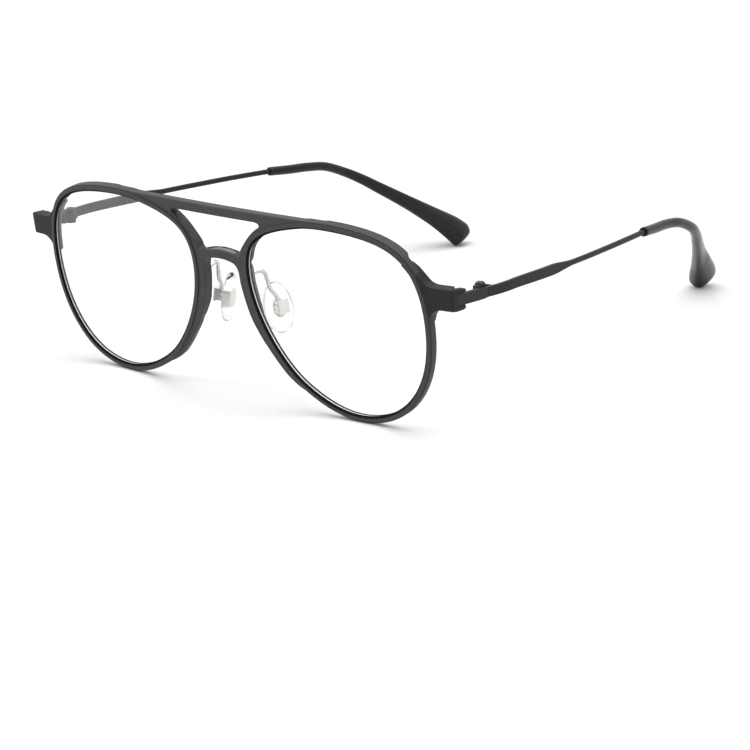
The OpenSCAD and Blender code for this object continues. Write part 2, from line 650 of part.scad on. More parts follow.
front_frame();
lens_left();
lens_right();
bridge_magnet();
hinge_plate_left();
hinge_plate_right();
hinge_screws();
temple_knuckle_left();
temple_knuckle_right();
temple_left();
temple_right();
temple_tip_left();
temple_tip_right();
pad_arm_left();
pad_arm_right();
pad_box_left();
pad_box_right();
pad_screws();
pad_core_left();
pad_core_right();
nose_pad_left();
nose_pad_right();
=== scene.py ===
"""Looks of a full-rim eyeglass frame on a white table.

The front, the temples, their tips and the nose pads are surfaces worked out with numpy: an outline or a path
carries a profile, and whole arrays of points go into the mesh at once. Lengths are in millimetres in the front's
own frame (x to the wearer's left, y to the back, z up) until a piece is stood on the table and turned into metres.
"""

import logging
import math
from dataclasses import dataclass, field
from enum import Enum

import bmesh
import bpy
import numpy as np
from mathutils import Matrix, Vector
from mathutils.geometry import delaunay_2d_cdt


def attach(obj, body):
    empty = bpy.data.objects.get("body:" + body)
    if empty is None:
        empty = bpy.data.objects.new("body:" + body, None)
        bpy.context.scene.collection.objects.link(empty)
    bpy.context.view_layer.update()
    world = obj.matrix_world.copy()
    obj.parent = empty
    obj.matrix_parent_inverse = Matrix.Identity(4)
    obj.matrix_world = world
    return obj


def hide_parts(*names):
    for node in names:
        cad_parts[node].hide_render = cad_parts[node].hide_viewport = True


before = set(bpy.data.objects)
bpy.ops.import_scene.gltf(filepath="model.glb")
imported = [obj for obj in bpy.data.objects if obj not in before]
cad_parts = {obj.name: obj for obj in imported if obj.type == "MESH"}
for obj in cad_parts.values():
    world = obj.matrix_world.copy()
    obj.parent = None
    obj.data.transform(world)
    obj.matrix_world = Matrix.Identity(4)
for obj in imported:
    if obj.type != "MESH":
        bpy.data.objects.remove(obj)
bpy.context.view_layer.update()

log = logging.getLogger("eyeglass_frame")
MM = 0.001
Array = np.ndarray
Socket = bpy.types.NodeSocket
Tree = bpy.types.NodeTree
Material = bpy.types.Material


class Side(Enum):
    """The wearer's left or right half."""

    LEFT = 1
    RIGHT = -1

    @property
    def word(self) -> str:
        """The side as the piece names give it."""
        return self.name.lower()


def unit(v: Array) -> Array:
    """Vectors divided by their length."""
    return v / np.maximum(np.linalg.norm(v, axis=-1, keepdims=True), 1e-12)


def smooth(v: Array, low: float, high: float) -> Array:
    """0 below low, 1 above high, and the cubic 3u^2 - 2u^3 of the share u between them."""
    u = np.clip((v - low) / (high - low), 0, 1)
    return u * u * (3 - 2 * u)


def turned(p: Array, axis: str, degrees: float) -> Array:
    """Points turned about an axis through the origin.

    Args:
        p: Points, three numbers each.
        axis: "x", "y" or "z".
        degrees: Angle, counter-clockwise seen from the axis's far end.

    Returns:
        The turned points.
    """
    i, j = {"x": (1, 2), "y": (2, 0), "z": (0, 1)}[axis]
    c, s = math.cos(math.radians(degrees)), math.sin(math.radians(degrees))
    p = np.asarray(p, float)
    q = p.copy()
    q[..., i], q[..., j] = c * p[..., i] - s * p[..., j], s * p[..., i] + c * p[..., j]
    return q


def curve(points: Array | list | tuple, steps: int) -> Array:
    """A curve through its points.

    Between two points it is the cubic whose slope at each is half the way between that point's neighbours.

    Args:
        points: Points of any dimension, one a row.
        steps: Pieces between two points.

    Returns:
        The finer row of points, both ends included.
    """
    p = np.asarray(points, float)
    i = np.arange(len(p) - 1)
    a, b, c, d = p[np.maximum(i - 1, 0)], p[i], p[i + 1], p[np.minimum(i + 2, len(p) - 1)]
    t = (np.arange(steps) / steps)[None, :, None]
    a, b, c, d = (q[:, None, :] for q in (a, b, c, d))
    q = (2 * b + (c - a) * t + (2 * a - 5 * b + 4 * c - d) * t**2 + (3 * b - a - 3 * c + d) * t**3) / 2
    return np.vstack([q.reshape(-1, p.shape[1]), p[-1:]])


def closed_spline(guide: tuple, steps: int) -> Array:
    """A closed uniform cubic B-spline: each span blends four guide points with the cubic basis.

    Args:
        guide: Guide points in order round the outline.
        steps: Points on each span.

    Returns:
        The points of the outline.
    """
    g = np.asarray(guide, float)
    t = (np.arange(steps) / steps)[None, :, None]
    a, b, c, d = (np.roll(g, k, 0)[:, None, :] for k in (1, 0, -1, -2))
    u = 1 - t
    q = u**3 * a + (3 * t**3 - 6 * t**2 + 4) * b + (3 * u**3 - 6 * u**2 + 4) * c + t**3 * d
    return (q / 6).reshape(-1, 2)


def outward_of(loop: Array) -> Array:
    """Unit normals of a closed outline, to the right of its way: outward where it runs counter-clockwise."""
    t = np.roll(loop, -1, 0) - np.roll(loop, 1, 0)
    return unit(np.stack([t[:, 1], -t[:, 0]], 1))


def soft_corners(p: Array, reach: Array | float, steps: int) -> Array:
    """A closed outline whose corners are replaced by arcs.

    Each arc is the quadratic curve from a point before the corner to one after it, with the corner as its guide.
    It starts at reach from the corner, or at 0.48 of the shorter edge there.

    Args:
        p: Corners, in an array whose last two axes are corner and coordinate.
        reach: Distance from the corner to the ends of its arc, for all or for each corner.
        steps: Pieces of each arc.

    Returns:
        The same array with steps + 1 points for each corner.
    """
    before, after = np.roll(p, 1, -2) - p, np.roll(p, -1, -2) - p
    short = np.minimum(np.linalg.norm(before, axis=-1), np.linalg.norm(after, axis=-1))
    r = np.minimum(np.broadcast_to(reach, short.shape), 0.48 * short)[..., None]
    t = np.linspace(0, 1, steps + 1)[:, None]
    a, b, c = ((p + k)[..., None, :] for k in (unit(before) * r, 0, unit(after) * r))
    q = (1 - t) ** 2 * a + 2 * t * (1 - t) * b + t**2 * c
    return q.reshape(*p.shape[:-2], -1, p.shape[-1])


def evened(loop: Array, gap: float) -> Array:
    """A closed outline with its points spread evenly.

    Args:
        loop: The outline.
        gap: About how far apart they are.

    Returns:
        The new points.
    """
    p = np.vstack([loop, loop[:1]])
    way = np.concatenate([[0], np.cumsum(np.linalg.norm(np.diff(p, axis=0), axis=1))])
    at = np.linspace(0, way[-1], int(way[-1] / gap), endpoint=False)
    return np.stack([np.interp(at, way, p[:, k]) for k in (0, 1)], 1)


def inside(points: Array, loops: list[Array]) -> Array:
    """Tests points with a ray to the right, which crosses the outlines an odd number of times from inside.

    Args:
        points: The points.
        loops: The outlines.

    Returns:
        True for each point inside.
    """
    x, z = points[:, :1], points[:, 1:2]
    odd = np.zeros(len(points), bool)
    for a in loops:
        b = np.roll(a, -1, 0)
        rise = b[:, 1] - a[:, 1]
        at = a[:, 0] + (b[:, 0] - a[:, 0]) * (z - a[:, 1]) / np.where(np.abs(rise) < 1e-12, 1e-12, rise)
        odd ^= (((a[:, 1] > z) != (b[:, 1] > z)) & (x < at)).sum(1) % 2 == 1
    return odd


def grid_faces(rows: int, columns: int, round_rows: bool = False) -> Array:
    """Quads of a grid of points.

    Args:
        rows: Its rows.
        columns: Points in a row; the last joins the first.
        round_rows: Whether the last row joins the first too.

    Returns:
        Four point numbers for each quad.
    """
    i = np.arange(rows if round_rows else rows - 1)[:, None]
    j = np.arange(columns)[None, :]
    k, m = (i + 1) % rows, (j + 1) % columns
    return np.stack([i * columns + j, k * columns + j, k * columns + m, i * columns + m], -1).reshape(-1, 4)


@dataclass
class Form:
    """One closed surface in the front's frame.

    Attributes:
        points: Its points, in millimetres.
        faces: Its faces, as lists of point numbers.
        finish: The number of the finish on each face, or one number for all.
    """

    points: Array
    faces: list[list[int]]
    finish: Array | int = 0


def tube(rings: Array) -> Form:
    """A skin over rings of points, with a flat cap on its first and on its last ring.

    Args:
        rings: Rings by points by coordinate.

    Returns:
        The closed surface.
    """
    m, n = rings.shape[:2]
    caps = [list(range(n)), list(range((m - 1) * n, m * n))]
    return Form(rings.reshape(-1, 3), grid_faces(m, n).tolist() + caps)


def railed(rails: Array, reach: Array | float, steps: int) -> Form:
    """A bar through rails: at each station the rails' points are a ring whose corners become arcs.

    Args:
        rails: Stations by rails by coordinate.
        reach: Distance from a rail to the ends of its arc, for all rails or for each.
        steps: Pieces of each arc.

    Returns:
        The bar, with rings that shrink at both ends so that its end edges are soft too.
    """
    rings = soft_corners(rails, reach, steps)
    r = float(np.min(reach))
    ends = []
    for near, far in ((rings[0], rings[1]), (rings[-1], rings[-2])):
        mid = near.mean(0)
        outward, inward = unit(mid - far.mean(0)), unit(mid - near)
        ends.append([near - outward * r, near - outward * r * 0.35 + inward * r * 0.15, near + inward * r * 0.6])
    body = np.concatenate([np.array(ends[0][::-1]), rings[1:-1], np.array(ends[1])])
    return tube(body)


def at_depth(p: Array, y: Array | float) -> Array:
    """Points of an upright plane, x and z, set at a depth y."""
    return np.stack([p[..., 0], np.broadcast_to(y, p.shape[:-1]), p[..., 1]], -1)


def box_rails(x: tuple, y: Array, z: tuple) -> Array:
    """Four rails for railed, at the stations y: from x[0], z[0] by x[1], z[0] and x[1], z[1] to x[0], z[1]."""
    corners = ((0, 0), (1, 0), (1, 1), (0, 1))
    return np.stack([np.stack(np.broadcast_arrays(x[i], y, z[j]), 1) for i, j in corners], 1)


def along(way: Array) -> Array:
    """Unit directions of a path at its points."""
    return unit(np.gradient(way, axis=0))


def swept(way: Array, section: Array, heading: Array) -> Array:
    """Rings square to a path: section's first number goes to the side and its second upward.

    Args:
        way: Points of the path.
        section: Ring points for each path point, two numbers each.
        heading: Unit direction that each ring faces.

    Returns:
        The rings.
    """
    s = unit(np.cross(heading, [0, 0, 1.0]))
    u = np.cross(s, heading)
    return way[:, None] + s[:, None] * section[..., :1] + u[:, None] * section[..., 1:]


@dataclass(frozen=True)
class Stance:
    """How the parts lie to one another and on the table.

    Attributes:
        base_r: Radius of the front's bow.
        tilt, stand: How far the lens plane leans back, in degrees, and the front's origin on the table.
        hinge_at, splay, pitch: The left hinge's place, and the temple's outward and downward turns there.
        pad_at, pad_lean, pad_turn: The left pad's place, its lean sideways and its turn about the upright.
    """

    base_r: float = 660.0
    tilt: float = 6.6
    stand: tuple[float, float, float] = (0.0, -74.1611, 25.4189)
    hinge_at: tuple[float, float, float] = (71.3462, 16.3369, 7.84588)
    splay: float = 3.5
    pitch: float = 9.1
    pad_at: tuple[float, float, float] = (10.5, 9.7, -3.2)
    pad_lean: float = -11.5
    pad_turn: float = -20.0

    def bow(self, x: Array) -> Array:
        """How far the front is bowed back at a distance from its middle: a circle of radius base_r."""
        return self.base_r - np.sqrt(self.base_r**2 - x**2)

    def bowed(self, p: Array) -> Array:
        """Points of the flat front moved back to its bow."""
        return p + self.bow(p[..., :1]) * [0, 1, 0]

    def hinge(self, p: Array) -> Array:
        """Points of a temple's frame in the front's frame."""
        return turned(turned(p, "z", -self.splay), "x", -self.pitch) + self.hinge_at

    def pad(self, p: Array) -> Array:
        """Points of a nose pad's frame in the front's frame."""
        return turned(turned(p, "y", self.pad_lean), "z", self.pad_turn) + self.pad_at

    def leaning(self, v: Array) -> Array:
        """Directions of the front's frame, as the frame stands on the table."""
        return turned(v, "x", self.tilt)

    def standing(self, p: Array, side: Side = Side.LEFT) -> Array:
        """Points of the front's frame on the table, in metres, mirrored for the right side."""
        return (self.leaning(p * [side.value, 1, 1]) + self.stand) * MM


STANCE = Stance()


def placed(name: str, data: bpy.types.ID) -> bpy.types.Object:
    """Puts a new object into the scene.

    Args:
        name: Its name.
        data: Its mesh, lamp or camera.

    Returns:
        The object.
    """
    thing = bpy.data.objects.new(name, data)
    bpy.context.scene.collection.objects.link(thing)
    return thing


def make_piece(name: str, side: Side, forms: list[Form], finishes: list[Material], body: str, slot: str,
               sharp: float, *stands_for: str) -> None:
    """Puts forms into one mesh, stands it on the table and lets it ride.

    Args:
        name: The piece's name.
        side: The half it is on; the forms are drawn for the left one.
        forms: Its closed surfaces.
        finishes: Materials, in the order of the forms' finish numbers.
        body: The CAD body it moves with.
        slot: The record's material slot; not used.
        sharp: Angle in degrees above which an edge is sharp.
        stands_for: The CAD nodes that it replaces.
    """
    points, faces, marks, start = [], [], [], 0
    for f in forms:
        points.append(f.points)
        faces += [[k + start for k in face] for face in f.faces]
        marks.append(np.broadcast_to(f.finish, len(f.faces)))
        start += len(f.points)
    mesh = bpy.data.meshes.new(name)
    mesh.from_pydata(STANCE.standing(np.vstack(points), side).tolist(), [], faces)
    mesh.polygons.foreach_set("material_index", np.concatenate(marks).astype(np.int32))
    mesh.shade_smooth()
    work = bmesh.new()
    work.from_mesh(mesh)
    bmesh.ops.recalc_face_normals(work, faces=work.faces)
    work.to_mesh(mesh)
    work.free()
    mesh.set_sharp_from_angle(angle=math.radians(sharp))
    for finish in finishes:
        mesh.materials.append(finish)
    piece = placed(name, mesh)
    piece.modifiers.new("even light", "WEIGHTED_NORMAL").keep_sharp = True
    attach(piece, body)
    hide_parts(*stands_for)
    log.info("%s: %d faces", name, len(faces))


# Finishes


def feed(tree: Tree, into: Socket, value: Socket | float) -> None:
    """Gives an input a number, or links another node's output to it.

    Args:
        tree: The node tree.
        into: The input.
        value: The number or the output.
    """
    if isinstance(value, (int, float)):
        into.default_value = value
    else:
        tree.links.new(value, into)


def calc(tree: Tree, kind: str, a: Socket | float, b: Socket | float) -> Socket:
    """Adds a Math node.

    Args:
        tree: The node tree.
        kind: Its operation.
        a: Its first value.
        b: Its second value.

    Returns:
        Its output.
    """
    node = tree.nodes.new("ShaderNodeMath")
    node.operation = kind
    feed(tree, node.inputs[0], a)
    feed(tree, node.inputs[1], b)
    return node.outputs[0]


def noise(tree: Tree, vector: Socket, scale: Socket | float, detail: float) -> Socket:
    """Adds a 3-D noise.

    Args:
        tree: The node tree.
        vector: Where the noise is read.
        scale: Its scale.
        detail: Its octaves.

    Returns:
        Its value, about 0.5 on average.
    """
    node = tree.nodes.new("ShaderNodeTexNoise")
    node.inputs["Detail"].default_value = detail
    feed(tree, node.inputs["Vector"], vector)
    feed(tree, node.inputs["Scale"], scale)
    return node.outputs[0]


def blank(name: str) -> tuple[Material, Tree, bpy.types.NodeInputs, Socket]:
    """Makes a material with nodes.

    Args:
        name: Its name.

    Returns:
        The material, its tree, its shader's inputs, and the coordinates of the piece that wears it.
    """
    mat = bpy.data.materials.new(name)
    mat.use_nodes = True
    tree = mat.node_tree
    place = tree.nodes.new("ShaderNodeTexCoord").outputs["Object"]
    return mat, tree, tree.nodes["Principled BSDF"].inputs, place


def surface_grain() -> Tree:
    """Makes the node group for a surface's grain.

    Returns:
        The group: a small noise as height, and a broader one as unevenness about 0.
    """
    tree = bpy.data.node_groups.new("surface_grain", "ShaderNodeTree")
    tree.interface.new_socket("Vector", in_out="INPUT", socket_type="NodeSocketVector")
    for name, value in (("Grain", 5000.0), ("Cloud", 120.0), ("Uneven", 0.1)):
        tree.interface.new_socket(name, in_out="INPUT", socket_type="NodeSocketFloat").default_value = value
    for name in ("Height", "Shade"):
        tree.interface.new_socket(name, in_out="OUTPUT", socket_type="NodeSocketFloat")
    i, o = tree.nodes.new("NodeGroupInput"), tree.nodes.new("NodeGroupOutput")
    fine = noise(tree, i.outputs["Vector"], i.outputs["Grain"], 3.0)
    cloud = noise(tree, i.outputs["Vector"], i.outputs["Cloud"], 3.0)
    both = calc(tree, "ADD", calc(tree, "MULTIPLY", fine, 0.4), calc(tree, "MULTIPLY", cloud, 0.6))
    shade = calc(tree, "MULTIPLY", calc(tree, "SUBTRACT", both, 0.5), i.outputs["Uneven"])
    tree.links.new(fine, o.inputs["Height"])
    tree.links.new(shade, o.inputs["Shade"])
    return tree


@dataclass(frozen=True)
class Finish:
    """A finish with grain: colour and roughness that vary a little, and a fine relief.

    Attributes:
        name: Its name.
        colour: Linear colour.
        rough: Mean roughness.
        metallic: Share of metal.
        grain: Size of the fine grain in millimetres.
        relief: Height of the grain in millimetres.
        uneven: How much colour and roughness vary.
        specular: Specular level.
    """

    name: str
    colour: tuple[float, float, float]
    rough: float
    metallic: float = 0.0
    grain: float = 0.1
    relief: float = 0.006
    uneven: float = 0.3
    specular: float = 0.5

    def made(self) -> Material:
        """Builds the material.

        Returns:
            The material.
        """
        mat, tree, shader, place = blank(self.name)
        shader["Metallic"].default_value = self.metallic
        shader["Specular IOR Level"].default_value = self.specular
        grain = tree.nodes.new("ShaderNodeGroup")
        grain.node_tree = bpy.data.node_groups.get("surface_grain") or surface_grain()
        tree.links.new(place, grain.inputs["Vector"])
        grain.inputs["Grain"].default_value = 1 / (self.grain * MM)
        grain.inputs["Uneven"].default_value = self.uneven
        light = calc(tree, "ADD", grain.outputs["Shade"], 1.0)
        tint = tree.nodes.new("ShaderNodeMix")
        tint.data_type, tint.blend_type = "RGBA", "MULTIPLY"
        tint.inputs["Factor"].default_value = 1.0
        tint.inputs[6].default_value = (*self.colour, 1)
        tree.links.new(light, tint.inputs[7])
        tree.links.new(tint.outputs[2], shader["Base Color"])
        tree.links.new(calc(tree, "MULTIPLY", light, self.rough), shader["Roughness"])
        bump = tree.nodes.new("ShaderNodeBump")
        bump.inputs["Distance"].default_value = self.relief * MM
        tree.links.new(grain.outputs["Height"], bump.inputs["Height"])
        tree.links.new(bump.outputs["Normal"], shader["Normal"])
        return mat


@dataclass(frozen=True)
class Clear:
    """A clear finish: glass or silicone, with a faint unevenness in its roughness.

    Attributes:
        name: Its name.
        colour: Linear colour.
        rough: Mean roughness.
        ior: Index of refraction.
        shade: How dark its shadow is, from 0 to 1.
    """

    name: str
    colour: tuple[float, float, float]
    rough: float
    ior: float
    shade: float

    def made(self) -> Material:
        """Builds the material. Light that casts a shadow passes it, apart from the share in shade.

        Returns:
            The material.
        """
        mat, tree, shader, place = blank(self.name)
        shader["Base Color"].default_value = (*self.colour, 1)
        shader["IOR"].default_value = self.ior
        shader["Transmission Weight"].default_value = 1.0
        cloud = noise(tree, place, 300.0, 2.0)
        tree.links.new(calc(tree, "MULTIPLY", cloud, 2 * self.rough), shader["Roughness"])
        ray = tree.nodes.new("ShaderNodeLightPath").outputs["Is Shadow Ray"]
        alpha = calc(tree, "SUBTRACT", 1.0, calc(tree, "MULTIPLY", ray, 1 - self.shade))
        tree.links.new(alpha, shader["Alpha"])
        return mat


def once(finish: Finish | Clear) -> Material:
    """A dataclass field that holds a finish's material."""
    return field(default_factory=finish.made)


@dataclass
class Finishes:
    """All finishes of the frame, made once."""

    front: Material = once(Finish(
        "moulded_front", (0.03, 0.03, 0.028), rough=0.5, grain=0.16, relief=0.012, specular=0.4))
    # Painted shade: a darker copy of the front's moulding for the end pieces, their prongs and the wall between
    # them.
    ends: Material = once(Finish(
        "end_pieces_painted_shade", (0.012, 0.012, 0.0113), rough=0.5, grain=0.16, relief=0.012, specular=0.22))
    # Painted shade: a near-black copy of the moulding for the rims' inner walls and the lenses' front bevel, where
    # shade falls.
    lip: Material = once(Finish(
        "rim_lip_painted_shade", (0.004, 0.004, 0.004), rough=0.7, grain=0.16, relief=0.01, specular=0.1))
    temple: Material = once(Finish(
        "coated_metal", (0.013, 0.0127, 0.0123), rough=0.42, metallic=0.05, grain=0.12, specular=0.2))
    hinge: Material = once(Finish(
        "hinge_metal", (0.017, 0.017, 0.0163), rough=0.42, metallic=0.12, grain=0.12, uneven=0.35, specular=0.28))
    tip: Material = once(Finish(
        "polished_tip", (0.004, 0.004, 0.0045), rough=0.16, grain=1.2, uneven=0.5, specular=0.29))
    screw: Material = once(Finish("screw_steel", (0.1, 0.1, 0.1), rough=0.4, metallic=1.0))
    wire: Material = once(Finish(
        "bent_wire", (0.6, 0.6, 0.58), rough=0.25, metallic=1.0, relief=0.004, uneven=0.25))
    bright: Material = once(Finish(
        "bright_steel", (0.82, 0.81, 0.78), rough=0.34, metallic=0.7, relief=0.004, uneven=0.25))
    magnet: Material = once(Finish(
        "magnet_plate", (0.24, 0.24, 0.235), rough=0.42, metallic=0.5, grain=0.3, relief=0.03, uneven=0.9))
    lens: Material = once(Clear("clear_lens", (1.0, 1.0, 1.0), rough=0.005, ior=1.5, shade=0.03))
    lens_edge: Material = once(Finish("ground_edge", (0.9, 0.9, 0.9), rough=0.6, relief=0.01, uneven=0.2))
    pad: Material = once(Clear("clear_pad", (0.96, 0.965, 0.965), rough=0.05, ior=1.42, shade=0.06))


@dataclass
class Front:
    """The moulded front: rims with a raised band, brow, lower bridge, flanges and end pieces.

    Attributes:
        lens_x: How far the lens's middle is from the front's.
        brow_top, roof: Heights of the plate's top edge and of the rims' top.
        plate_y, rear_at: Depths of the plate's face and of the rims' back.
        rim_w, band_w: Widths of a rim and of its raised band.
        seat: How far the rim's lips reach in over the lens.
        groove: Depths of the lens groove's two walls.
        brow_more: How much deeper the brow is.
        arch_less: How much shallower the plate is at the lower bridge, where the flanges' bar backs it.
        end_h: Half the height of the blocks at the hinges.
        end_x, end_z, end_rear: The end pieces' outer side, their top and underside, and their rear face.
        end_r, soft: Radii of their outer front corner and of the plate's edges.
        prong_t, prong_less: Thickness of the prongs, and how much lower the upper one is.
        pocket, pocket_deep: Depths of the two walls of the magnet's pocket, and how far it goes down.
        lip_from, lip_to: First column of the rim's profile that is its inner lip, and the first after the lip;
            these faces get painted shade.
        moves_from: Profile points deeper than this move back with the front's depth.
        guide: Guide points of the lens's outline, about its middle.
        nose, window: Halves of the two outlines, from outside and from the top to the middle.
    """

    lens_x: float = 35.5
    brow_top: float = 25.15
    roof: float = 25.35
    plate_y: float = 0.354
    rim_w: float = 1.5
    band_w: float = 1.2
    seat: float = 0.25
    groove: tuple[float, float] = (0.48, 1.78)
    rear_at: float = 2.1
    brow_more: float = 0.9
    arch_less: float = 0.8
    end_h: float = 2.73
    end_x: float = 70.6
    end_z: tuple[float, float] = (12.55, 7.05)
    end_rear: float = 3.5
    end_r: float = 0.55
    prong_t: float = 1.6
    prong_less: float = 0.05
    soft: float = 0.2
    pocket: tuple[float, float] = (1.35, 2.85)
    pocket_deep: float = 1.05
    lip_from: int = 47
    lip_to: int = 2
    moves_from: float = 1.88
    guide: tuple = (
        (27.2, -0.1), (25.9, 14.3), (17.7, 22.8), (-3.2, 24.2), (-10, 23.1), (-27, 18.8), (-26.6, 0.8),
        (-18.5, -13.4), (-11, -20), (1.7, -25.5), (16.1, -22.7), (24.6, -12.6))
    nose: tuple = (
        (24, -20.6), (21, -19.3), (17.6, -16.8), (15, -13.8), (13, -11.2), (10.7, -8), (8.8, -4.6), (7.7, -2),
        (6.7, 2), (6, 6), (6, 8.25), (5.6, 9.85), (4.7, 10.8), (2.5, 11.35), (0, 11.55))
    window: tuple = (
        (0, 22.85), (13.6, 22.85), (14.7, 22.5), (14.9, 21.85), (12.7, 20.45), (10.6, 18.55), (8.3, 15.8),
        (7.4, 14.6), (7, 13.15), (6.1, 12.7), (3.6, 13.35), (0, 13.75))

    def lens_outline(self, steps: int, out: float = 0.0) -> Array:
        """The left lens's outline moved outward by a distance."""
        g = closed_spline(self.guide, steps)
        return g + outward_of(g) * out + [self.lens_x, 0]

    def depth(self, x: Array, z: Array) -> Array:
        """How deep the front is at a place: the plate and the rims, without the flanges.

        It is the rims' depth, plus brow_more above a height that is greater away from the middle, minus arch_less
        over the lower bridge.

        Args:
            x: Places across the front.
            z: Their heights.

        Returns:
            The depths.
        """
        ax = np.abs(x)
        arch = (smooth(z, 7, 8) - smooth(z, 14, 15)) * (1 - smooth(ax, 5.4, 6.6))
        middle = self.rear_at + self.brow_more * smooth(z, 11.8, 12.8) * (1 - arch) - self.arch_less * arch
        rim = self.rear_at + self.brow_more * smooth(z, 18.4, 19.4)
        w = smooth(ax, 13.4, 15.3)
        return middle * (1 - w) + rim * w

    def under_roof(self, p: Array, top: float) -> Array:
        """Points kept below the front's top, which steps down twice on its way back.

        Args:
            p: The points.
            top: Height of the top at its front edge.

        Returns:
            The lowered points.
        """
        drop = 0.14 * smooth(p[..., 1], 1.1, 1.2) + 0.14 * smooth(p[..., 1], 2.0, 2.1)
        drop = drop * (1 - smooth(np.abs(p[..., 0]), 33.5, 36.5))
        q = p.copy()
        q[..., 2] = np.minimum(q[..., 2], top - drop)
        return q

    def rim(self) -> Form:
        """A rim: its profile carried round the lens's outline.

        The profile has the raised band, the step to the plate, the outer side, the back and the lens's groove.
        Its rear points move back with the front's depth at that place.

        Returns:
            The left rim.
        """
        g0, g1 = self.groove
        corners = np.array([
            (0.2, 0), (self.band_w, 0), (self.band_w, 0.35), (self.rim_w, 0.35), (self.rim_w, 1.1),
            (self.rim_w, 1.2), (self.rim_w, 1.8), (self.rim_w, 1.87), (self.rim_w, self.rear_at),
            (-self.seat, self.rear_at), (-self.seat, g1), (0.05, g1), (0.05, g0), (-self.seat, g0 - 0.1)])
        reach = np.array([0.12, 0.2, 0.03, 0.1, 0.01, 0.01, 0.01, 0.01, 0.2, 0.12, 0.05, 0.02, 0.02, 0.05])
        profile = soft_corners(corners, reach, 4)
        line = closed_spline(self.guide, 24)
        out = outward_of(line)
        at = line[:, None] + out[:, None] * profile[:, :1] + [self.lens_x, 0]
        place = line + out * 0.8 + [self.lens_x, 0]
        more = self.depth(place[:, 0], place[:, 1]) - self.rear_at
        y = profile[:, 1] + more[:, None] * (profile[:, 1] > self.moves_from)
        p = STANCE.bowed(self.under_roof(at_depth(at, y), self.roof))
        faces = grid_faces(*p.shape[:2], round_rows=True).tolist()
        # The inner walls, from the rear lip over the groove to the front lip, take finish 1: painted shade in a
        # near-black copy of the moulding.
        column = np.arange(len(faces)) % len(profile)
        return Form(p.reshape(-1, 3), faces, ((column >= self.lip_from) | (column < self.lip_to)).astype(int))

    @staticmethod
    def whole(half: Array) -> Array:
        """An outline that starts and ends on the middle line, with its mirror image."""
        p = np.asarray(half, float)
        return np.vstack([p, (p[p[:, 0] > 0] * [-1, 1])[::-1]])

    def plate_loops(self) -> list[Array]:
        """Outlines of the plate.

        Returns:
            Its outer edge, which hides in the bands, and its window.
        """
        band = self.lens_outline(20, 0.3)
        start = np.argmin(np.linalg.norm(band - [32.6, 24.3], axis=1))
        stop = np.argmin(np.linalg.norm(band - [24.4, -19.4], axis=1))
        half = np.vstack([[(0, self.brow_top), (33.5, self.brow_top)], band[start:stop + 1:2], self.nose])
        loops = []
        for p, reach, want in ((self.whole(half), 1.2, 1), (self.whole(self.window), 1.4, -1)):
            q = np.roll(p, -1, 0)
            area = float((p[:, 0] * q[:, 1] - q[:, 0] * p[:, 1]).sum())
            p = p if area * want > 0 else p[::-1]
            loops.append(evened(soft_corners(p, reach, 5), 0.35))
        return loops

    def plate(self) -> Form:
        """The plate of brow, bridge and flanges.

        Each outline carries an edge profile from the front face over a soft edge, down the side and over a soft
        edge to the back; triangles between the innermost outlines close the two faces.

        Returns:
            The plate.
        """
        r, y0 = self.soft, self.plate_y
        g = np.radians([90, 67.5, 45, 22.5, 0])
        inset = np.concatenate([[r + 0.06], r * (1 - np.cos(g))])
        lift = np.concatenate([[0], r * (1 - np.sin(g))])
        walls = np.array([0.82, 1.09])
        off = np.concatenate([inset, 0 * walls, inset[::-1]])
        ahead = np.concatenate([y0 + lift, walls])
        points, faces, front_ids, rear_ids, edges, flat, start, first = [], [], [], [], [], [], 0, 0
        for loop in self.plate_loops():
            at = loop - outward_of(loop) * off[:, None, None]
            back = self.depth(loop[:, 0], loop[:, 1])
            y = np.vstack([ahead[:, None] + 0 * back, back - lift[::-1, None]])
            n, k = len(loop), np.arange(len(loop))
            points.append(at_depth(at, y).reshape(-1, 3))
            faces += (grid_faces(len(off), n) + start).tolist()
            front_ids.append(start + k)
            rear_ids.append(start + (len(off) - 1) * n + k)
            edges.append(np.stack([k, (k + 1) % n], 1) + first)
            flat.append(at[0])
            start, first = start + len(off) * n, first + n
        rim_points = np.vstack(flat)
        xs, zs = np.meshgrid(np.arange(-34, 34, 1.1), np.arange(-17, 26, 1.1))
        inner = np.stack([xs.ravel(), zs.ravel()], 1)
        inner = inner[inside(inner, flat)]
        near = np.min(np.linalg.norm(inner[:, None] - rim_points[None], axis=-1), axis=1)
        inner = inner[near > 0.5]
        every = np.vstack([rim_points, inner])
        result = delaunay_2d_cdt([Vector(p) for p in every.tolist()], np.vstack(edges).tolist(), [], 0, 1e-6, True)
        source = np.array([ids[0] for ids in result[3]])
        triangles = source[np.array(result[2])]
        triangles = triangles[inside(every[triangles].mean(1), flat)]
        for ids, y in ((front_ids, y0), (rear_ids, self.depth(inner[:, 0], inner[:, 1]))):
            number = np.concatenate([*ids, start + np.arange(len(inner))])
            points.append(at_depth(inner, y))
            faces += number[triangles].tolist()
            start += len(inner)
        p = self.under_roof(np.vstack(points), self.brow_top)
        return Form(STANCE.bowed(p), faces)

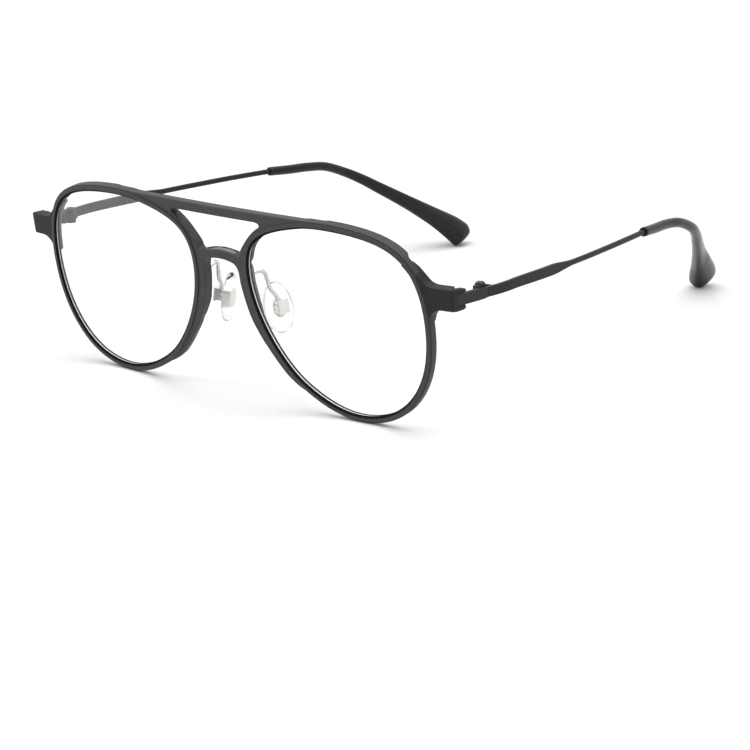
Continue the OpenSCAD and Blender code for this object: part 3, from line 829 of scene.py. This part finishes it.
    def end_piece(self) -> Form:
        """An end piece: a bar on four rails that flares out of the rim, turns the corner and runs back as a block.

        At each station the rails are the outer and the inner face's upper and lower edges.

        Returns:
            The left end piece.
        """
        y0, y1, (top_z, low_z), r = self.plate_y, self.end_rear, self.end_z, self.end_r
        top = curve([(57.2, 17.9), (58.4, 17.5), (59.8, 16.6), (61.0, 15.4), (62.1, 14.2), (63.0, 13.3),
                     (64.0, 12.8), (65.2, 12.57), (67.2, top_z), (68.6, top_z)], 4)
        low = curve([(57.0, 17.3), (58.8, 15.4), (60.4, 12.8), (61.5, 10.2), (62.2, 7.0), (62.6, 3.0),
                     (63.4, 4.7), (64.5, 6.1), (66.2, 6.98), (68.6, low_z)], 4)
        front = np.stack([at_depth(e, y) for e, y in ((top, y0), (top, y1), (low, y1), (low, y0))], 1)
        g = np.radians([0, 22.5, 45, 67.5, 90])
        ox = self.end_x - r + r * np.sin(g)
        oy = y0 + r - r * np.cos(g)
        ix, iy = np.linspace(68.85, 69.0, len(g)), np.linspace(y1, y1 + 0.15, len(g))
        corner = np.stack([np.stack(np.broadcast_arrays(*q), 1) for q in ((ox, oy, top_z), (ix, iy, top_z),
                                                                          (ix, iy, low_z), (ox, oy, low_z))], 1)
        block = box_rails((0, -self.prong_t), np.array([-11.0, -10.6, -10.2]), (self.end_h, -self.end_h))
        return railed(np.concatenate([STANCE.bowed(np.concatenate([front, corner])), STANCE.hinge(block)]), 0.36, 4)

    def prong(self, up: int) -> Form:
        """One prong beside the metal strip: a bar on four rails with a soft, rounded end.

        Args:
            up: 1 for the upper and -1 for the lower prong.

        Returns:
            The left side's prong.
        """
        y, near, far, t = np.array([
            (-10.9, 1.47, 2.72, 0), (-10.2, 1.47, 2.7, 0), (-9.2, 1.47, 2.65, 0), (-8.3, 1.47, 2.58, 0),
            (-7.85, 1.5, 2.48, 0.05), (-7.55, 1.6, 2.3, 0.15), (-7.4, 1.75, 2.05, 0.35)]).T
        far = far - self.prong_less * (up > 0)
        return railed(STANCE.hinge(box_rails((-t, t - self.prong_t), y, (up * far, up * near))), 0.2, 3)

    def prong_back(self) -> Form:
        """The thin wall between the prongs, behind the metal strip."""
        y = np.array([-10.9, -10, -9, -8, -7.6])
        return railed(STANCE.hinge(box_rails((-1.03, -self.prong_t), y, (1.6, -1.6))), 0.1, 2)

    def flange(self) -> Form:
        """The flanges beside the nose and the lower bridge, behind the plate: one bar over the arch.

        Its stations follow the arch. At each, a ring has the nose's edge, the outer edge and, in the lower bridge,
        the pocket for the magnet.

        Returns:
            The bar.
        """
        nose, hole = (evened(q + outward_of(q) * 0.012, 0.03) for q in self.plate_loops())
        inner = np.array([
            (9.35, -5.6), (8.8, -4.6), (7.7, -2), (7.4, -0.8), (6.7, 2), (6.3, 4.2), (6, 6), (6, 7.1), (6, 7.7),
            (5.95, 8.5), (5.8, 9.2), (5.6, 9.8), (5.25, 10.3), (4.75, 10.75), (4.5, 10.88), (4.2, 10.97),
            (3.7, 11.08), (3.15, 11.21), (3.05, 11.24), (2.5, 11.35), (1.2, 11.46), (0, 11.53)])
        outer = np.array([
            (11.0, -5.1), (10.9, -4.3), (10.5, -1.8), (10.25, -0.7), (9.8, 2), (9.4, 4.2), (9.15, 6), (9.1, 7.1),
            (9.1, 7.7), (9.1, 8.5), (9.0, 9.8), (8.5, 11.1), (7.7, 11.75)])
        arch = np.array([(6.9, 12.25), (6.3, 12.68), (6.05, 12.7), (5.3, 12.92), (4.46, 13.13), (4.36, 13.15),
                         (3.6, 13.35), (1.8, 13.57), (0, 13.75)])
        inner, near = (q[np.argmin(np.linalg.norm(q[None] - p[:, None], axis=-1), axis=1)]
                       for q, p in ((nose, inner), (hole, arch)))
        outer = np.vstack([outer, arch[:2], near[2:]])
        count = len(inner)
        depth = np.array([2.2, 2.55, 3.1] + [3.3] * (count - 3))
        low = outer - [0, 1] * np.where(np.arange(count) > count - 5, self.pocket_deep, 0.01)[:, None]
        y0, y1, y2 = 0.9, *self.pocket
        rails = [(inner, y0), (inner, depth), (outer, depth), (outer, np.minimum(y2, depth - 0.05)),
                 (low, np.minimum(y2, depth - 0.06)), (low, y1 + 0.01), (outer, y1), (outer, y0)]
        half = np.stack([at_depth(q, d) for q, d in rails], 1)
        bar = np.concatenate([half, half[-2::-1] * [-1, 1, 1]])
        return railed(STANCE.bowed(bar), np.array([0.05, 0.2, 0.2, 0.03, 0.01, 0.01, 0.03, 0.05]), 3)

    def build(self, finishes: Finishes) -> None:
        """Builds the front as one piece in the place of its CAD node.

        Args:
            finishes: All finishes.
        """
        forms = [self.plate(), self.flange()]
        for s in Side:
            # Mark 2 gives the end pieces, prongs and prong wall the darker ends finish, which paints their shade.
            for f, mark in ((self.rim(), 0), (self.end_piece(), 2), (self.prong(1), 2), (self.prong(-1), 2),
                            (self.prong_back(), 2)):
                forms.append(Form(f.points * [s.value, 1, 1], f.faces, f.finish + mark))
        make_piece("front_moulding", Side.LEFT, forms, [finishes.front, finishes.lip, finishes.ends], "front",
                   "front", 40, "front_frame")


@dataclass
class Lens:
    """A clear lens with a ground edge, with its two faces at the depths y."""

    front: Front
    side: Side
    y: tuple[float, float] = (0.53, 1.45)

    def build(self, finishes: Finishes) -> None:
        """Builds the lens: rings that shrink to its middle on both faces, joined by the bevelled, ground edge.

        Args:
            finishes: All finishes.
        """
        edge, face, rear = (self.front.lens_outline(12, -k) for k in (0, 0.35, 0.2))
        mid = face.mean(0)
        share = np.array([0.02, 0.25, 0.5, 0.75, 0.9, 0.975, 1.0])
        flat = [(mid + (face - mid) * k, self.y[0]) for k in share]
        flat.append((edge, self.y[0] + 0.45))
        flat += [(mid + (rear - mid) * k, self.y[1]) for k in share[::-1]]
        form = tube(STANCE.bowed(np.array([at_depth(ring, y) for ring, y in flat])))
        n, bevel = len(edge), len(share) - 1
        # The strip of the front bevel next to the edge takes the near-black lip finish: painted shade of the rim's
        # groove on the clear lens.
        form.finish = np.repeat([0, 2, 1, 0], [bevel * n, n, n, len(form.faces) - (bevel + 2) * n])
        w = self.side.word
        make_piece(f"lens_glass_{w}", self.side, [form], [finishes.lens, finishes.lens_edge, finishes.lip],
                   "front", "lens", 30, f"lens_{w}")


@dataclass
class Temple:
    """A temple: a flat bar at the hinge that turns into a round wire, and its polished tip.

    Attributes:
        strip_t, flat_h0, flat_h: Thickness of the flat bar, and its height at the hinge and at the flat's end.
        gap, free_len: How far behind the hinge's axis the bar starts, and the tip.
        flat_len, taper_len: Length of the flat part, and that over which it turns round.
        flat_r, wire_r: Radii of the flat bar's edges and of the wire.
        tip_d0, tip_w, tip_t: Diameter of the tip where it starts, and its greatest width and thickness.
        tip_turn: Its turn about its own path, in degrees.
        bar_line: The bar's path: share of free_len, sideways and up.
        tip_line: The tip's path from its start, and how far it has swollen.
    """

    side: Side
    strip_t: float = 1.0
    gap: float = 0.15
    free_len: float = 72.6512
    flat_h0: float = 2.45
    flat_h: float = 2.65
    flat_len: float = 26.0
    taper_len: float = 10.0
    flat_r: float = 0.17
    wire_r: float = 0.725
    tip_d0: float = 2.5
    tip_w: float = 8.0
    tip_t: float = 5.3
    tip_turn: float = 45.0
    bar_line: tuple = (
        (0.06, 0, 0), (0.11, -0.05, 0.1), (0.16, -0.4, 0.2), (0.23, -0.9, 0.2), (0.31, -1.5, 0.2),
        (0.39, -2.3, 0.2), (0.48, -3.2, 0.2), (0.59, -4.5, 0.2), (0.7, -6, 0.2), (0.81, -7.6, 0.2),
        (0.92, -9.4, 0.15), (1, -10.8, 0.1))
    tip_line: tuple = (
        (0, 0, 0, 0), (-1.65, 6.9, -0.45, 0.02), (-3.2, 13.8, -0.75, 0.02), (-4.3, 20.7, -1.7, 0.02),
        (-5.9, 27.8, -4.4, 0.04), (-8.5, 33.1, -7.3, 0.09), (-11.1, 37.2, -10.1, 0.15), (-13.9, 41.4, -13, 0.22),
        (-17.1, 46.2, -16.4, 0.34), (-20.6, 51.8, -20.5, 0.6), (-23.4, 56, -23.95, 0.91),
        (-24.9, 58.1, -26.05, 1), (-25.7, 59, -27, 1), (-26.09, 59.38, -27.67, 1))

    def socket(self) -> tuple[Array, Array]:
        """Where the tip starts, and its direction there."""
        at = np.array([self.bar_line[-1][1] - self.strip_t / 2, self.free_len, 0.1])
        return at, unit(np.array([-0.24, 1, -0.05]))

    def bar(self) -> Form:
        """The bar and wire: a rounded rectangle whose corners grow round along the temple's path.

        Returns:
            The bar.
        """
        line = np.array(self.bar_line)
        way = np.column_stack([line[:, 1] - self.strip_t / 2, line[:, 0] * self.free_len, line[:, 2]])
        way = curve(np.vstack([[-self.strip_t / 2, self.gap, 0], way]), 10)
        at, heading = self.socket()
        way = np.vstack([way, at + heading * 3])
        y = way[:, 1]
        k = smooth(y, self.flat_len, self.flat_len + self.taper_len)
        a = (1 - k) * self.strip_t / 2 + k * self.wire_r
        high = self.flat_h0 + (self.flat_h - self.flat_h0) * np.minimum(y / self.flat_len, 1)
        b = (1 - k) * high / 2 + k * self.wire_r
        a, b, r = (v[:, None] for v in (a, b, (1 - k) * self.flat_r + k * self.wire_r))
        g = np.linspace(0, np.pi / 2, 6)
        section = np.concatenate([np.stack([i * (a - r) + r * np.cos(g + q * np.pi / 2),
                                            j * (b - r) + r * np.sin(g + q * np.pi / 2)], -1)
                                  for i, j, q in ((1, 1, 0), (-1, 1, 1), (-1, -1, -2), (1, -1, -1))], 1)
        t = along(way)
        t[:3] = [0, 1, 0]
        return tube(STANCE.hinge(swept(way, section, t)))

    def tip(self) -> Form:
        """The tip: ovals that swell, grow squarer and turn along its path, with a blunt end and a mouth.

        Returns:
            The tip.
        """
        at, heading = self.socket()
        line = curve(self.tip_line, 12)
        way, k = line[:, :3] + at, np.clip(line[:, 3], 0, 1)
        run = np.concatenate([[0], np.cumsum(np.linalg.norm(np.diff(way, axis=0), axis=1))])
        left = np.clip((run[-1] - run) / 2.6, 0, 1)
        dome = np.maximum(1 - (1 - left) ** 2.5, 1e-5) ** 0.4
        late = np.clip(k / 0.5, 0, 1)
        x, z = (((self.tip_d0 + (w - self.tip_d0) * k) / 2 * dome)[:, None] for w in (self.tip_t, self.tip_w))
        g = (np.arange(48) + 0.5) * np.pi / 24
        bulge = [np.sign(f) * np.abs(f) ** (1 - 0.28 * late)[:, None] for f in (np.cos(g), np.sin(g))]
        x, z, w = x * bulge[0], z * bulge[1], np.radians(self.tip_turn * late)[:, None]
        section = np.stack([x * np.cos(w) + z * np.sin(w), z * np.cos(w) - x * np.sin(w)], -1)
        t = along(way)
        t[:8] = heading
        rings = swept(way, section, t)
        mouth = np.array([(1.4, 0.76), (0.1, 0.76), (0.02, 0.86), (0.0, 1.05), (0.08, 1.2)])
        first = at + heading * mouth[:, :1]
        circles = mouth[:, 1:, None] * np.stack([np.cos(g), np.sin(g)], -1)
        lip = swept(first, circles, np.repeat(heading[None], len(mouth), 0))
        return tube(STANCE.hinge(np.concatenate([lip, rings[2:]])))

    def build(self, finishes: Finishes) -> None:
        """Builds the bar and the tip.

        Args:
            finishes: All finishes.
        """
        w = self.side.word
        make_piece(f"temple_bar_{w}", self.side, [self.bar()], [finishes.temple], f"{w}_temple",
                   "temple_metal", 60, f"temple_{w}")
        make_piece(f"tip_sleeve_{w}", self.side, [self.tip()], [finishes.tip], f"{w}_temple", "tip", 70,
                   f"temple_tip_{w}")


@dataclass
class NosePad:
    """A nose pad with its bent wire.

    Attributes:
        width, height: The pad's outer size.
        off: How far its back is from the axis that it rocks on.
        wire_r: Radius of the wire.
        egg: The pad's outline, in half widths and half heights.
        skin: Distance from its back, and the outline's share there.
    """

    side: Side
    width: float = 7.8
    height: float = 13.0
    off: float = 1.45
    wire_r: float = 0.54
    egg: tuple = (
        (0, 1.1), (-0.72, 0.84), (-1.08, 0.2), (-1.12, -0.42), (-0.66, -0.94), (0, -1.08), (0.66, -0.94),
        (1.12, -0.42), (1.08, 0.2), (0.72, 0.84))
    skin: tuple = (
        (2.5, 0.02), (2.49, 0.3), (2.42, 0.55), (2.2, 0.76), (1.85, 0.9), (1.4, 0.97), (0.7, 1), (0.25, 0.96),
        (0.02, 0.88), (0, 0.8), (0, 0.02))

    def wire(self) -> Form:
        """The wire: a circle carried along its path from the flange to the top of the pad's box.

        Returns:
            The wire.
        """
        n = STANCE.pad
        line = [(7.25, 2, 7.1), (7.25, 3.9, 7.1), (7.25, 5.5, 7.4), (7.9, 6.8, 7.25), (8.2, 7.7, 6.3),
                (8.5, 7.9, 4.7), (8.9, 8.1, 2.3), n([-0.2, -0.75, 3.2]), n([-0.2, -0.75, 2.1])]
        way = curve(line, 8)
        t = along(way)
        u = unit(np.cross([1.0, 0, 0], t))
        s = np.cross(t, u)
        g = (np.arange(24) * np.pi / 12)[:, None]
        return tube(way[:, None] + self.wire_r * (s[:, None] * np.cos(g) + u[:, None] * np.sin(g)))

    def pad(self) -> Form:
        """The pad: an egg outline that grows and shrinks from its face to its back.

        Returns:
            The pad.
        """
        egg = closed_spline(self.egg, 5) * [self.width / 2, self.height / 2]
        rings = np.stack([np.column_stack([np.full(len(egg), -self.off - d), egg * k]) for d, k in self.skin])
        return tube(STANCE.pad(rings))

    def build(self, finishes: Finishes) -> None:
        """Builds the wire and the pad.

        Args:
            finishes: All finishes.
        """
        w = self.side.word
        make_piece(f"pad_wire_{w}", self.side, [self.wire()], [finishes.wire], "front", "bright_metal", 60,
                   f"pad_arm_{w}")
        make_piece(f"soft_pad_{w}", self.side, [self.pad()], [finishes.pad], f"{w}_pad", "pad", 80,
                   f"nose_pad_{w}")


def dress(node: str, finish: Material) -> None:
    """Gives a CAD node that keeps its shape its finish, in its own material slots.

    Args:
        node: The node's name.
        finish: Its material.
    """
    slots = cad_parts[node].material_slots
    if slots:
        slots[0].material = finish
    log.info("%s: dressed as %s", node, finish.name)


@dataclass(frozen=True)
class Lamp:
    """A square area lamp that points at the origin: its name, place and edge in metres, and power in watts."""

    name: str
    at: tuple[float, float, float]
    size: float
    power: float

    def build(self) -> None:
        """Builds the lamp."""
        lamp = bpy.data.lights.new(self.name, "AREA")
        lamp.size, lamp.energy = self.size, self.power
        spot = placed(self.name, lamp)
        spot.location = self.at
        spot.rotation_euler = Vector(self.at).to_track_quat("Z", "Y").to_euler()


@dataclass
class Studio:
    """A white table under soft light, and the camera.

    Attributes:
        turn, height, roll: The camera's angles to the front: toward the wearer's left, upward and about its view.
        target, distance: The place that it looks at, in the front's frame, and how far it is.
        lens: Its focal length.
        table_half: Half the table's edge, in metres.
        fade: Distances from the origin at which the table starts and ends fading out, in metres.
        room_light: How strongly the white room lights what isn't seen directly or in a reflection.
        lamps: The lamps.
    """

    turn: float = 42.438
    height: float = 22.562
    roll: float = -7.22
    target: tuple[float, float, float] = (47.19, 0.0, -11.237)
    distance: float = 691.088
    lens: float = 138.5
    table_half: float = 1.2
    fade: tuple[float, float] = (0.45, 1.1)
    room_light: float = 0.55
    lamps: tuple[Lamp, ...] = (
        Lamp("top_light", (0.1, 0.1, 1.3), 1.6, 14.0), Lamp("left_light", (-1.2, -0.7, 0.8), 1.0, 5.0),
        Lamp("right_light", (1.3, -0.2, 0.7), 0.9, 1.5))

    def build(self) -> None:
        """Builds the table, the lamps, the world and the camera."""
        bpy.context.scene.view_settings.view_transform = "Standard"
        self.table()
        self.world()
        for lamp in self.lamps:
            lamp.build()
        self.camera()

    def table(self) -> None:
        """The table top: a flat sheet with a pale, faintly uneven finish that fades out into the white room."""
        mesh = bpy.data.meshes.new("table_top")
        r = self.table_half
        mesh.from_pydata([(-r, -r, 0), (r, -r, 0), (r, r, 0), (-r, r, 0)], [], [(0, 1, 2, 3)])
        mat = Finish("white_table", (0.93, 0.93, 0.935), rough=0.9, grain=3.0, relief=0.0, uneven=0.01,
                     specular=0.0).made()
        tree = mat.node_tree
        away = tree.nodes.new("ShaderNodeVectorMath")
        away.operation = "LENGTH"
        tree.links.new(tree.nodes.new("ShaderNodeTexCoord").outputs["Object"], away.inputs[0])
        fade = tree.nodes.new("ShaderNodeMapRange")
        fade.interpolation_type = "SMOOTHSTEP"
        for name, value in zip(("From Min", "From Max", "To Min", "To Max"), (*self.fade, 1.0, 0.0)):
            fade.inputs[name].default_value = value
        tree.links.new(away.outputs["Value"], fade.inputs["Value"])
        tree.links.new(fade.outputs["Result"], tree.nodes["Principled BSDF"].inputs["Alpha"])
        mesh.materials.append(mat)
        top = placed("table_top", mesh)

    def world(self) -> None:
        """White surroundings: full white to the camera and in reflections, and a plain level of light."""
        world = bpy.data.worlds.new("white_room")
        bpy.context.scene.world = world
        world.use_nodes = True
        tree = world.node_tree
        shade = tree.nodes["Background"]
        shade.inputs["Color"].default_value = (1, 1, 1, 1)
        path = tree.nodes.new("ShaderNodeLightPath")
        seen = calc(tree, "MAXIMUM", path.outputs["Is Camera Ray"], path.outputs["Is Transmission Ray"])
        seen = calc(tree, "MAXIMUM", seen, path.outputs["Is Glossy Ray"])
        strength = calc(tree, "ADD", calc(tree, "MULTIPLY", seen, 1 - self.room_light), self.room_light)
        tree.links.new(strength, shade.inputs["Strength"])

    def camera(self) -> None:
        """The camera at the photograph's angle, roll and distance."""
        cam = bpy.data.cameras.new("eye")
        cam.sensor_width, cam.lens = 36.0, self.lens
        cam.clip_start, cam.clip_end = 0.05, 20
        turn, height, roll = (math.radians(v) for v in (self.turn, self.height, self.roll))
        back = np.array([math.sin(turn) * math.cos(height), -math.cos(turn) * math.cos(height), math.sin(height)])
        level = np.array([math.cos(turn), math.sin(turn), 0])
        right = math.cos(roll) * level + math.sin(roll) * np.cross(back, level)
        at = Vector(STANCE.standing(self.target + back * self.distance))
        turn = Matrix(STANCE.leaning(np.array([right, np.cross(back, right), back])).tolist()).transposed()
        eye = placed("eye", cam)
        eye.matrix_world = Matrix.Translation(at) @ turn.to_4x4()
        bpy.context.scene.camera = eye


def main() -> None:
    """Builds every piece in order, then the studio."""
    logging.basicConfig(level=logging.INFO, format="%(message)s")
    finishes = Finishes()
    front = Front()
    front.build(finishes)
    for side in Side:
        Lens(front, side).build(finishes)
        Temple(side).build(finishes)
        NosePad(side).build(finishes)
        w = side.word
        dress(f"hinge_plate_{w}", finishes.hinge)
        dress(f"temple_knuckle_{w}", finishes.hinge)
        dress(f"pad_box_{w}", finishes.bright)
        dress(f"pad_core_{w}", finishes.bright)
    dress("hinge_screws", finishes.screw)
    dress("pad_screws", finishes.bright)
    dress("bridge_magnet", finishes.magnet)
    Studio().build()


if __name__ == "__main__":
    main()
